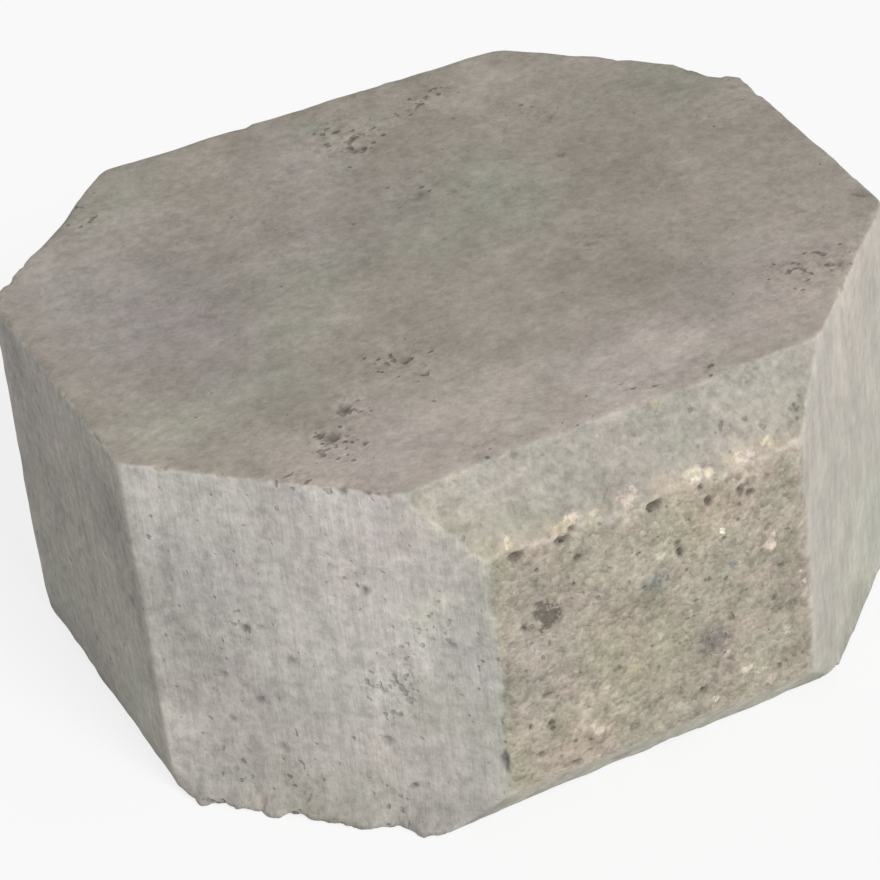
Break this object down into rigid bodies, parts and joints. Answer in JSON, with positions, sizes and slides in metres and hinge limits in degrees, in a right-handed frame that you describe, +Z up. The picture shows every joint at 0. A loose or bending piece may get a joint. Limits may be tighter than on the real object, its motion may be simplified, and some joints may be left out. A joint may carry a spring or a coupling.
{
  "type": "wall cap block",
  "caption": "Octagonal concrete cap block for a garden or retaining wall, with a bevelled split face front and back and plain moulded faces between them.",
  "frame": {"origin": "centre of the bed face, which is the centre of the bounding box's bottom", "axes": "+Z up, out of the top face; -Y out of the front split face, +Y out of the back one; +X and -X out of the two end faces"},
  "size_m": [0.21, 0.21, 0.1],
  "materials": {
    "concrete": "dry-cast concrete, matte, with vertical drag marks on the moulded faces and bare aggregate on the split faces"
  },
  "bodies": {
    "root": {"cap_block": "concrete"}
  },
  "joints": []
}
